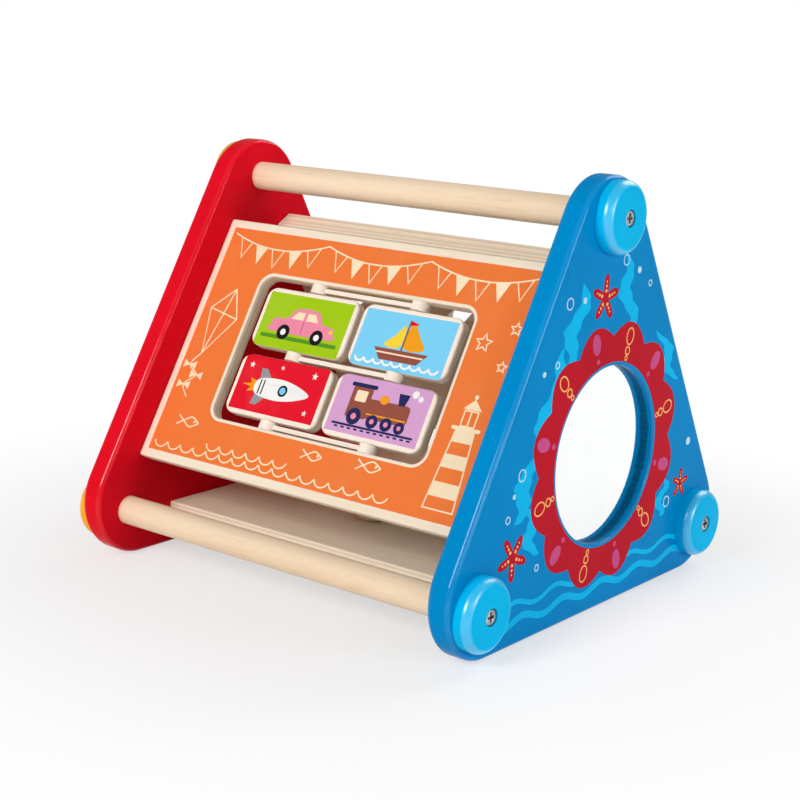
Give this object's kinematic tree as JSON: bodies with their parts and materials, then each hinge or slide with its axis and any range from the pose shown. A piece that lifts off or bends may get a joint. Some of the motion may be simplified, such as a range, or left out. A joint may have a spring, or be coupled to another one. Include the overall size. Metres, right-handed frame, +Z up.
{
  "type": "activity triangle",
  "caption": "Triangular wooden activity box with turning picture tiles, slotted slider board, mirror and handle dowel.",
  "frame": {"origin": "centre of the footprint, on the surface that the end panels stand on", "axes": "+X from the red end panel to the blue one, the tile board faces -Y, +Z up"},
  "size_m": [0.2498, 0.2328, 0.2095],
  "materials": {
    "blue_paint": "semi gloss lacquer on wood",
    "red_paint": "semi gloss lacquer on wood",
    "light_blue_paint": "semi gloss lacquer on wood",
    "yellow_paint": "semi gloss lacquer on wood",
    "mirror_sheet": "silvered plastic sheet",
    "pale_wood": "clear lacquered beech",
    "pale_plywood": "clear lacquered birch plywood",
    "printed_plywood": "orange print on birch plywood",
    "painted_plywood": "birch plywood",
    "printed_tile": "printed both sides, bare rim",
    "screw_steel": "zinc plated",
    "axle_steel": "bright drawn rod"
  },
  "bodies": {
    "frame": {"blue_end_panel": "blue_paint", "red_end_panel": "red_paint", "mirror": "mirror_sheet", "handle_dowel": "pale_wood", "front_dowel": "pale_wood", "rear_dowel": "pale_wood", "blue_cap_front": "light_blue_paint", "blue_cap_rear": "light_blue_paint", "blue_cap_top": "light_blue_paint", "blue_cap_screws": "screw_steel", "yellow_cap_front": "yellow_paint", "yellow_cap_rear": "yellow_paint", "yellow_cap_top": "yellow_paint", "yellow_cap_screws": "screw_steel", "front_board": "printed_plywood", "rear_board": "pale_plywood", "maze_board": "painted_plywood", "base_board": "pale_plywood", "board_pins": "pale_wood", "tile_axle_left": "axle_steel", "tile_axle_right": "axle_steel", "top_tile_spacer": "pale_wood", "middle_tile_spacer": "pale_wood", "bottom_tile_spacer": "pale_wood"},
    "upper_left_tile_body": {"upper_left_tile": "printed_tile"},
    "upper_right_tile_body": {"upper_right_tile": "printed_tile"},
    "lower_left_tile_body": {"lower_left_tile": "printed_tile"},
    "lower_right_tile_body": {"lower_right_tile": "printed_tile"},
    "left_slider": {"left_slider_knob": "red_paint", "left_slider_retainer": "pale_wood"},
    "middle_slider": {"middle_slider_knob": "yellow_paint", "middle_slider_retainer": "pale_wood"},
    "right_slider": {"right_slider_knob": "light_blue_paint", "right_slider_retainer": "pale_wood"},
    "base_spinner": {"base_disc": "yellow_paint", "base_disc_peg": "pale_wood"}
  },
  "joints": [
    {"name": "upper_left_tile_turn", "type": "hinge", "parent": "frame", "child": "upper_left_tile_body", "pos_m": [-0.0318, -0.04232, 0.12428], "axis": [0, 0.5, 0.866], "continuous": true},
    {"name": "upper_right_tile_turn", "type": "hinge", "parent": "frame", "child": "upper_right_tile_body", "pos_m": [0.0318, -0.04232, 0.12428], "axis": [0, 0.5, 0.866], "continuous": true},
    {"name": "lower_left_tile_turn", "type": "hinge", "parent": "frame", "child": "lower_left_tile_body", "pos_m": [-0.0318, -0.06072, 0.09241], "axis": [0, 0.5, 0.866], "continuous": true},
    {"name": "lower_right_tile_turn", "type": "hinge", "parent": "frame", "child": "lower_right_tile_body", "pos_m": [0.0318, -0.06072, 0.09241], "axis": [0, 0.5, 0.866], "continuous": true},
    {"name": "left_slider_arc", "type": "hinge", "parent": "frame", "child": "left_slider", "pos_m": [-0.0533, 0.0555, 0.11065], "axis": [0, 0.866, 0.5], "range_deg": [0, 200]},
    {"name": "middle_slider_arc", "type": "hinge", "parent": "frame", "child": "middle_slider", "pos_m": [0.0174, 0.0555, 0.11065], "axis": [0, -0.866, -0.5], "range_deg": [0, 200]},
    {"name": "right_slider_run", "type": "slide", "parent": "frame", "child": "right_slider", "axis": [0, -0.5, 0.866], "range_m": [0, 0.068]},
    {"name": "base_spinner_turn", "type": "hinge", "parent": "frame", "child": "base_spinner", "pos_m": [-0.0078, -0.0147, 0.0159], "axis": [0, 0, 1], "continuous": true}
  ]
}
